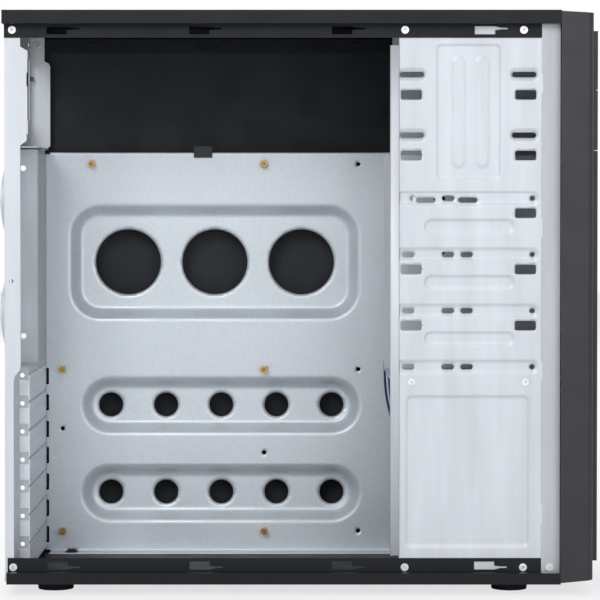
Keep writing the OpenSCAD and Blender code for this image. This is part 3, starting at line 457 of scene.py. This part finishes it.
class TOWER_OT_tray(bpy.types.Operator):
    """The motherboard tray as one pressed and folded sheet"""
    bl_idname = "tower.tray"
    bl_label = "Motherboard tray"

    pitch_mm = 1.5
    big = (223.8, 89.5, 24.0)       # width, height and corner radius of the large recess
    row = (215.8, 45.0, 22.4)       # the same for each of the two rows of small holes
    run = 10.0                      # width of the slope into a recess
    reach = 7.0                     # width of the front and top returns
    big_hole, small_hole = 25.0, 9.2
    screw_hole, foot_hole = 1.7, 6.0
    rim_height = 1.1
    tongue_cut, tongue_half = 2.9, 6.1    # cut-out for each slot cover's tongue
    corner_cut = 4.0                # where the toe and the top return stop short of the rear edge

    def execute(self, context):
        sizes = context.scene.tower_sizes
        low, high = corners("motherboard_tray")
        front = mount("board_standoffs_lower")[1] + 6.5
        x0, x1 = low[0], high[0]
        z0, z1 = low[2] + SHEET, high[2]
        r, reach, toe = sizes.bend_radius, self.reach, front - low[1]
        arc = np.linspace(0, math.pi / 2, 6)

        # Up the sheet: toe on the pan, bend, face, bend, top return. v is the length along it.
        y_up = np.concatenate([[-toe], -r + r * np.sin(arc), r - r * np.cos(arc), [reach]])
        z_up = np.concatenate([[z0], z0 + r - r * np.cos(arc), z1 - r + r * np.sin(arc), [z1]])
        v_up = np.concatenate([[0], np.cumsum(np.hypot(np.diff(y_up), np.diff(z_up)))])
        # Along the sheet: face, bend, front return. u is the length along it.
        x_al = np.concatenate([[x0], x1 - r + r * np.sin(arc), [x1]])
        y_al = np.concatenate([[0], r - r * np.cos(arc), [reach]])
        u_al = np.concatenate([[0], np.cumsum(np.hypot(np.diff(x_al), np.diff(y_al)))])
        v_face = v_up[6] - z_up[6]

        slots = [corners(f"slot_cover_{i}") for i in range(1, 8)]
        mids = np.array([(a[2] + b[2]) / 2 for a, b in slots])
        half = self.tongue_half
        n_u = int(u_al[-1] / self.pitch_mm)
        n_v = int(v_up[-1] / self.pitch_mm)
        u = np.unique(np.concatenate([np.linspace(0, u_al[-1], n_u), u_al, [self.tongue_cut, self.corner_cut]]))
        v = np.unique(np.concatenate([np.linspace(0, v_up[-1], n_v), v_up,
                                      mids - half + v_face, mids + half + v_face]))
        uu, vv = np.meshgrid(u, v)

        standoffs, plain = self.fixings()
        holes = [(x, z + v_face, rad) for x, z, rad in self.big_holes() + self.small_holes()]
        holes += [(x, z + v_face, self.screw_hole) for x, z in standoffs + plain]
        foot = corners("foot_rear_right")
        mid = (foot[0] + foot[1]) / 2
        holes.append((mid[0], mid[1] - low[1], self.foot_hole))
        rims = np.zeros(uu.shape)
        keep_masks = []
        for cx, cv, rad in holes:
            du, dv = uu - (cx - x0), vv - cv
            dist = np.hypot(du, dv)
            near = np.abs(dist - rad) < 0.75 * self.pitch_mm
            scale = np.where(near, rad / np.maximum(dist, 1e-6), 1.0)
            uu, vv = cx - x0 + du * scale, cv + dv * scale
            dist = np.where(near, rad, dist)
            keep_masks.append(dist > rad + 1e-6)
            if rad > self.foot_hole:
                t = np.clip((dist - rad) / sizes.rim_width, 0, 1)
                rims += self.rim_height * (1 - t) ** 2 * (dist >= rad - 1e-6)

        x = np.interp(uu, u_al, x_al)
        z = np.interp(vv, v_up, z_up)
        y = front + np.interp(uu, u_al, y_al) + np.interp(vv, v_up, y_up)
        y = y + self.pressing(x, z, sizes.press_depth) + rims
        verts = np.stack([x, y, z], axis=-1).reshape(-1, 3)
        faces = grid_faces(len(v), len(u))

        keep = np.ones(len(faces), bool)
        for mask in keep_masks:
            keep &= mask.ravel()[faces].any(axis=1)
        fu = uu.ravel()[faces].mean(axis=1)
        fv = vv.ravel()[faces].mean(axis=1)
        for mid_z in mids:
            keep &= ~((fu < self.tongue_cut) & (np.abs(fv - mid_z - v_face) < half))
        in_toe, in_top = fv < v_up[5], fv > v_up[7]
        keep &= ~((in_toe | in_top) & ((fu < self.corner_cut) | (fu > u_al[1])))
        verts, faces = drop_loose(verts, faces[keep])
        obj = mesh_object("tray_sheet", verts, faces, "chassis")
        thicken(obj, SHEET, -1)
        obj.data.materials.append(galvanised("tray_zinc", context.scene.tower_colours.tray))
        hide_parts("motherboard_tray")
        return {"FINISHED"}

    def fixings(self):
        """Centres of the standoffs and of the plain holes, by the board standard."""
        left, mid = mount("board_standoffs_lower")[0] - 77.47, mount("board_standoffs_lower")[2] + 62.23
        studs = [(22.86, 157.48), (154.94, 157.48), (0, 0), (154.94, 0), (0, -124.46), (154.94, -124.46)]
        plain = [(227.33, 157.48), (227.33, 0), (227.33, -124.46), (0, -45.72), (154.94, -64.2)]
        return [(left + a, mid + b) for a, b in studs], [(left + a, mid + b) for a, b in plain]

    def big_holes(self):
        found = [opening(f"tray_hole_{i}").mean(axis=0) for i in (1, 2, 3)]
        return [(c[0], c[2], self.big_hole) for c in found]

    def small_holes(self):
        found = [opening(f"tray_port_{j}_{i}").mean(axis=0) for j in (1, 2) for i in range(1, 6)]
        return [(c[0], c[2], self.small_hole) for c in found]

    def pressing(self, x, z, depth):
        """Depth of the pressed recesses: a smooth step of the distance inside each rounded outline."""
        holes, small = self.big_holes(), self.small_holes()
        outlines = [((holes[1][0], holes[1][1]), self.big),
                    ((small[2][0], small[2][1]), self.row), ((small[7][0], small[7][1]), self.row)]
        total = np.zeros(x.shape)
        for centre, (w, h, rad) in outlines:
            total += depth * smooth_step(-round_box_distance(x, z, centre, (w, h), rad) / self.run)
        return total


class TOWER_OT_cage(bpy.types.Operator):
    """The drive cage's left wall as one pressed sheet, with slotted holes and bent-in tabs"""
    bl_idname = "tower.cage"
    bl_label = "Drive cage wall"

    pitch_mm = 1.2
    sink = 1.15                     # depth of the pressed areas
    rib_rise = 0.8                  # height of the two ribs, back out of the large one
    slope = 1.5                     # width of a pressed edge
    hem_rear_edge, hem_fold = 1.7, 4.2    # hem behind and in front of the sheet's rear edge
    slot_rise, slot_places = 10.1, (13.4, 92.64)    # large bays: height over the floor, places along it
    row_rise, last_hole = 6.35, 98.6    # small bays: height of the screw row, place of its round hole
    dip_places = (23.1, 52.9)       # the two long slots of the top row
    tab_rear, tab_front = 5.4, 17   # from the sheet's rear edge, and from the wall's front
    tab_hole = (14.9, 6.8)
    rivet_hole = 3.3
    rib_places = (46.4, 63.3)

    def execute(self, context):
        low, high = corners("cage_left_wall")
        hem_rear, x1, z0, z1 = low[0], high[0], low[2], high[2]
        x0, face = hem_rear + self.hem_rear_edge, low[1] + SHEET
        bays = [opening("bay_525_top")[0][2] - 1.6, opening("bay_525_bottom")[0][2] - 1.4]
        small = [opening(f"bay_35_{i}")[0][2] - 1.2 for i in (1, 2, 3, 4)]
        pressed, ribs = self.pressings(x0, x1, bays, small, z0)
        tabs = self.tabs(x0, x1, bays, small)
        wide, tall = self.tab_hole
        cuts = self.holes(x0, bays, small)
        cuts += [((x + wide / 2, z - SHEET - tall / 2), self.tab_hole, 1.4) for x, z in tabs]
        cuts += [self.slot(x, z, self.rivet_hole, self.rivet_hole)
                 for x, z in self.rivet_places(x0, x1, small, z0, z1)]

        edges_x = [c[0] + k * s[0] / 2 for c, s, _ in pressed for k in (-1, 1)]
        edges_z = [c[1] + k * s[1] / 2 for c, s, _ in pressed for k in (-1, 1)]
        x = self.lines(x0 + self.hem_fold, x1, edges_x)
        z = self.lines(z0, z1, edges_z)
        xx, zz = np.meshgrid(x, z)
        for centre, size, rad in cuts:
            xx, zz = self.snap(xx, zz, centre, size, rad)
        y = face + self.sink * self.rise(xx, zz, pressed) - self.rib_rise * self.rise(xx, zz, ribs)
        verts = np.stack([xx, y, zz], axis=-1).reshape(-1, 3)
        faces = grid_faces(len(z), len(x))
        for centre, size, rad in cuts:
            gap = round_box_distance(xx, zz, centre, size, rad).ravel()[faces]
            faces = faces[(gap > 0.02).any(axis=1)]
        verts, faces = drop_loose(verts, faces)
        steel = rolled_steel("cage_sheet_steel", context.scene.tower_colours.steel, (1, 1, 0.12))
        wall = mesh_object("cage_sheet", verts, faces, "chassis")
        thicken(wall, SHEET, -1)
        wall.data.materials.append(steel)
        trim = self.trim(tabs, hem_rear, face, z0, z1)
        trim.data.materials.append(steel)
        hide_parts("cage_left_wall")
        return {"FINISHED"}

    def lines(self, a, b, edges):
        """Evenly spaced lines, with three more across each pressed edge."""
        even = np.linspace(a, b, int((b - a) / self.pitch_mm) + 1)
        extra = (np.array(edges)[:, None] + np.array([-1.3, -0.5, 0.3])[None, :]).ravel()
        extra = extra[(extra > a + 0.3) & (extra < b - 0.3)]
        clear = np.abs(even[:, None] - extra[None, :]).min(axis=1) > 0.35
        clear[[0, -1]] = True
        merged = np.sort(np.concatenate([even[clear], extra]))
        return merged[np.concatenate([[True], np.diff(merged) > 0.25])]

    def snap(self, xx, zz, centre, size, rad):
        """Moves the grid points near an outline onto it, along the slope of its signed distance."""
        step = 0.01
        gap = round_box_distance(xx, zz, centre, size, rad)
        gx = (round_box_distance(xx + step, zz, centre, size, rad) - gap) / step
        gz = (round_box_distance(xx, zz + step, centre, size, rad) - gap) / step
        near = np.abs(gap) < self.pitch_mm
        return np.where(near, xx - gx * gap, xx), np.where(near, zz - gz * gap, zz)

    def rise(self, x, z, outlines):
        """1 inside each outline, 0 outside, by a smooth step over the slope's width inside the edge."""
        total = np.zeros(x.shape)
        for centre, size, rad in outlines:
            total = np.maximum(total, smooth_step(-round_box_distance(x, z, centre, size, rad) / self.slope))
        return total

    def slot(self, x, z, wide, tall):
        """Centre, size and corner radius of a hole with round ends; the radius is a hair short of
        half the height, so that the distance has one slope at every point near the edge."""
        return (x, z), (wide, tall), tall / 2 - 0.01

    def pressings(self, x0, x1, bays, small, z0):
        """Centre, size and corner radius of the pressed areas, and of the ribs inside the large one."""
        rear = x0 + self.hem_fold
        across = x1 - 14.2 - rear
        # A band along each small bay's screw row, with a dip round each long slot of the top row.
        out = [((rear + across / 2 - 6, z + self.row_rise), (across + 12, 9.9), 4.6) for z in small]
        out += [((x0 + x, small[0] + 4.4), (wide, 8.0), 3.0) for x, wide in zip(self.dip_places, (20.5, 20.0))]
        # A shorter band below each of the upper three, and a ring round each slot of the large bays.
        out += [((x0 + 54, z - 13.4), (64.2, 10.4), 5.0) for z in small[:3]]
        out += [((x0 + x, z + self.slot_rise), (21.2, 9.4), 4.6) for z in bays for x in self.slot_places]
        # The large panel between the slots, and the one below the small bays.
        panel_z = bays[1] + 26.4
        out.append(((x0 + 53.3, panel_z), (45.8, 96.6), 4.2))
        top, bottom = small[3] - 13.8, z0 + 23.2
        out.append(((x0 + 52.7, (top + bottom) / 2), (87.6, top - bottom), 4.0))
        return out, [((x0 + x, panel_z), (10.4, 79.2), 5.1) for x in self.rib_places]

    def tabs(self, x0, x1, bays, small):
        """Rear end and height of each bent-in tab, which a drive rests on."""
        rear, front = x0 + self.tab_rear, x1 + SHEET - self.tab_front - self.tab_hole[0]
        return ([(x, z) for z in bays for x in (rear, front)] + [(front, z) for z in small[:3]]
                + [(rear, z) for z in small[1:3]])

    def holes(self, x0, bays, small):
        """The drive screws' holes: slots in the large bays, and a row for each small bay."""
        out = [self.slot(x0 + x, z + self.slot_rise, 17, 3.9) for z in bays for x in self.slot_places]
        row = small[0] + self.row_rise
        out += [self.slot(x0 + x, row, 3.7, 3.7) for x in (13.7, self.last_hole)]
        out += [self.slot(x0 + x, row - 1.3, 13.7, 3.8) for x in self.dip_places]
        out.append(self.slot(x0 + 39.1, row, 8.8, 3.8))
        for z in small[1:]:
            out += [self.slot(x0 + x, z + self.row_rise, 8.8, 3.8) for x in (10.8, 38.9, 52.2)]
            out.append(self.slot(x0 + self.last_hole, z + self.row_rise, 3.7, 3.7))
        return out

    def rivet_places(self, x0, x1, small, z0, z1):
        top, bottom = z1 - 12, z0 + 9.6
        places = [(x0 + x, z) for x in (8.4, 92.2) for z in (top, bottom)]
        return places + [(x1 - 6.5, bottom)] + [(x0 + x, small[3] - 4.3) for x in (13.1, 93.8)]

    def trim(self, tabs, hem_rear, face, z0, z1):
        """The hem and the tabs: each is a rounded channel profile carried straight along its length."""
        parts, faces, count = [], [], 0
        bend, hem_depth, tab_reach = 0.8, 1.6, 9.6
        hem_flat = self.hem_rear_edge + self.hem_fold

        def carry(profile, ends, order):
            nonlocal count
            p = np.asarray(profile, float)
            parts.append(np.vstack([np.insert(p, order, end, axis=1) for end in ends]))
            faces.append(grid_faces(2, len(p)) + count)
            count += 2 * len(p)

        arc = [(bend * math.cos(t), bend * math.sin(t)) for t in np.linspace(0, math.pi / 2, 5)]
        hem = [(hem_rear, face + hem_depth)] + [(hem_rear + bend - c, face - s) for c, s in arc]
        hem += [(hem_rear + hem_flat - bend + s, face - c) for c, s in arc]
        hem.append((hem_rear + hem_flat, face + 0.1))
        carry(hem, (z0 + 17.9, z1 - 22.9), 2)
        for x, z in tabs:
            tab = [(face + bend - c, z + bend / 2 - s) for c, s in arc]
            tab.append((face + tab_reach, z - bend / 2))
            carry(tab, (x + 1.2, x + 13.7), 0)
        obj = mesh_object("cage_trim", np.vstack(parts), np.vstack(faces), "chassis")
        thicken(obj, 0.7, 0)
        return obj


class TOWER_OT_steel(bpy.types.Operator):
    """Finish of the steel chassis, cage and slot covers: one steel, with darker copies on the far cage wall, front
    frame and I/O plate as painted shade, and a lighter copy on the slot covers as painted light
    """
    bl_idname = "tower.steel"
    bl_label = "Steel finishes"

    def execute(self, context):
        rgb = np.array(context.scene.tower_colours.steel)
        # painted shade: the far cage wall is the same steel, darkened to 0.96
        paint(["cage_right_wall"], rolled_steel("cage_far_steel_painted_shade", rgb * 0.96, (1, 1, 0.12)))
        # painted shade: the front frame is the same steel, darkened to 0.9
        paint(["front_frame"], rolled_steel("front_steel_painted_shade", rgb * 0.9, (1, 1, 0.1)))
        paint(["rear_panel"], rolled_steel("rear_steel", rgb, (1, 1, 0.1)))
        # painted light: the slot covers are the same steel, lightened to 1.16
        paint([f"slot_cover_{i}" for i in range(1, 8)], rolled_steel("bracket_steel_painted_light", rgb * 1.16, (1, 0.1, 1)))
        # painted shade: the I/O plate is the same steel, darkened to 0.9
        paint(["io_plate"], rolled_steel("plate_steel_painted_shade", rgb * 0.9, (1, 1, 0.2)))
        return {"FINISHED"}


class TOWER_OT_shell(bpy.types.Operator):
    """Finish of the black cover, pan, side cover and feet"""
    bl_idname = "tower.shell"
    bl_label = "Black shell"

    def execute(self, context):
        rgb = np.array(context.scene.tower_colours.shell)
        paint(["top_cover", "bottom_pan"], textured_paint("shell_black", rgb))
        # painted light: the side cover is the same black paint as the shell, lightened by 20
        paint(["right_side_panel"], textured_paint("side_cover_black_painted_light", rgb + 20, 0.55))
        rubber = moulded("foot_rubber", (34, 34, 37), 0.75, 1200, 0.00008)
        paint([n for n in NODES if n.startswith("foot_")], rubber)
        return {"FINISHED"}


class TOWER_OT_front(bpy.types.Operator):
    """Finish of the bezel, its covers, buttons, lenses and sockets"""
    bl_idname = "tower.front"
    bl_label = "Front"

    def execute(self, context):
        rgb = np.array(context.scene.tower_colours.bezel)
        paint(["front_bezel"], moulded("bezel_charcoal", rgb, 0.42))
        paint(["lower_fascia", "control_strip", "bay_cover_upper", "bay_cover_lower"],
              moulded("cover_charcoal", rgb * 0.92, 0.38))
        paint(["power_button", "reset_button"], moulded("button_dark", (40, 40, 43), 0.22, 2600, 0.00001))
        paint(["power_led"], moulded("lens_green", (128, 214, 146), 0.2, 2600, 0.00001))
        paint(["drive_led"], moulded("lens_amber", (226, 148, 110), 0.2, 2600, 0.00001))
        paint(["headphone_jack"], moulded("jack_green", (98, 168, 96), 0.4))
        paint(["microphone_jack"], moulded("jack_pink", (214, 140, 162), 0.4))
        paint(["usb_socket_upper", "usb_socket_lower"], turned_metal("socket_tin", (206, 208, 212), 0.28))
        paint(["control_board", "port_board"], moulded("board_green", (34, 92, 52), 0.3, 700, 0.00005))
        paint(["power_switch", "reset_switch", "switch_plug", "port_plug"],
              moulded("fitting_black", (28, 28, 30), 0.4))
        return {"FINISHED"}


class TOWER_OT_hardware(bpy.types.Operator):
    """Rivets, standoffs, clip and the knurled thumb screws"""
    bl_idname = "tower.hardware"
    bl_label = "Hardware"

    def execute(self, context):
        paint(["rivets"], turned_metal("rivet_aluminium", (216, 217, 218), 0.35))
        paint(["board_screws"], turned_metal("screw_zinc", (170, 173, 178), 0.3))
        paint(["standoffs"], turned_metal("standoff_brass", (186, 150, 84), 0.28))
        paint(["tray_clip"], moulded("clip_black", (32, 34, 40), 0.4))
        paint(["lead_clip"], moulded("clip_nylon", (228, 228, 222), 0.35))
        self.thumb_screws(context.scene.tower_sizes.knurls)
        return {"FINISHED"}

    def thumb_screws(self, knurls):
        """Each screw is turned about its axis: a profile of radius over length, whose head radius
        swings by the ridges' height with the cosine of the knurl count times the angle."""
        ridge = 0.12
        low, high = corners("panel_screws")
        radius = (high[1] - low[1]) / 2
        y = (low[1] + high[1]) / 2
        length = np.array([0, 0, 0.2, 0.7, 1.0, 5.0, 5.5, 5.9, 5.9, 10.0, 10.6, 10.6])
        share = np.array([0, 0.72, 0.86, 0.93, 0.97, 0.97, 0.9, 0.6, 0.3, 0.3, 0.18, 0])
        knurled = np.array([0, 0, 0, 0, 1, 1, 0, 0, 0, 0, 0, 0])
        angle = np.linspace(0, 2 * math.pi, knurls * 6, endpoint=False)
        rad = share[:, None] * radius + knurled[:, None] * ridge * np.cos(knurls * angle)[None, :]
        metal = turned_metal("thumb_screw_zinc", (150, 154, 160), 0.3)
        parts, faces = [], grid_faces(len(length), len(angle), wrap=True)
        for z in (low[2] + radius, high[2] - radius):
            parts.append(np.stack([low[0] + length[:, None] + 0 * rad,
                                   y + rad * np.cos(angle), z + rad * np.sin(angle)], axis=-1).reshape(-1, 3))
        both = np.vstack([faces, faces + len(parts[0])])
        obj = mesh_object("thumb_screws", np.vstack(parts), both[:, ::-1], "right_cover")
        obj.data.materials.append(metal)
        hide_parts("panel_screws")


class TOWER_PT_panel(bpy.types.Panel):
    """Sizes, colours and steps of the tower"""
    bl_idname = "TOWER_PT_panel"
    bl_label = "Computer Tower"
    bl_space_type = "VIEW_3D"
    bl_region_type = "UI"
    bl_category = "Tower"

    def draw(self, context):
        for group in (context.scene.tower_sizes, context.scene.tower_colours):
            for key in group.__annotations__:
                self.layout.prop(group, key)
        for op in OPERATORS:
            self.layout.operator(op.bl_idname)


OPERATORS = (TOWER_OT_stage, TOWER_OT_leads, TOWER_OT_tray, TOWER_OT_cage, TOWER_OT_steel, TOWER_OT_shell,
             TOWER_OT_front, TOWER_OT_hardware)
CLASSES = (TowerSizes, TowerColours, *OPERATORS, TOWER_PT_panel)


def register():
    for cls in CLASSES:
        bpy.utils.register_class(cls)
    bpy.types.Scene.tower_sizes = bpy.props.PointerProperty(type=TowerSizes)
    bpy.types.Scene.tower_colours = bpy.props.PointerProperty(type=TowerColours)


def unregister():
    del bpy.types.Scene.tower_colours
    del bpy.types.Scene.tower_sizes
    for cls in reversed(CLASSES):
        bpy.utils.unregister_class(cls)


def main():
    register()
    bpy.ops.tower.stage()
    bpy.ops.tower.leads()
    bpy.ops.tower.tray()
    bpy.ops.tower.cage()
    bpy.ops.tower.steel()
    bpy.ops.tower.shell()
    bpy.ops.tower.front()
    bpy.ops.tower.hardware()


if __name__ == "__main__":
    main()
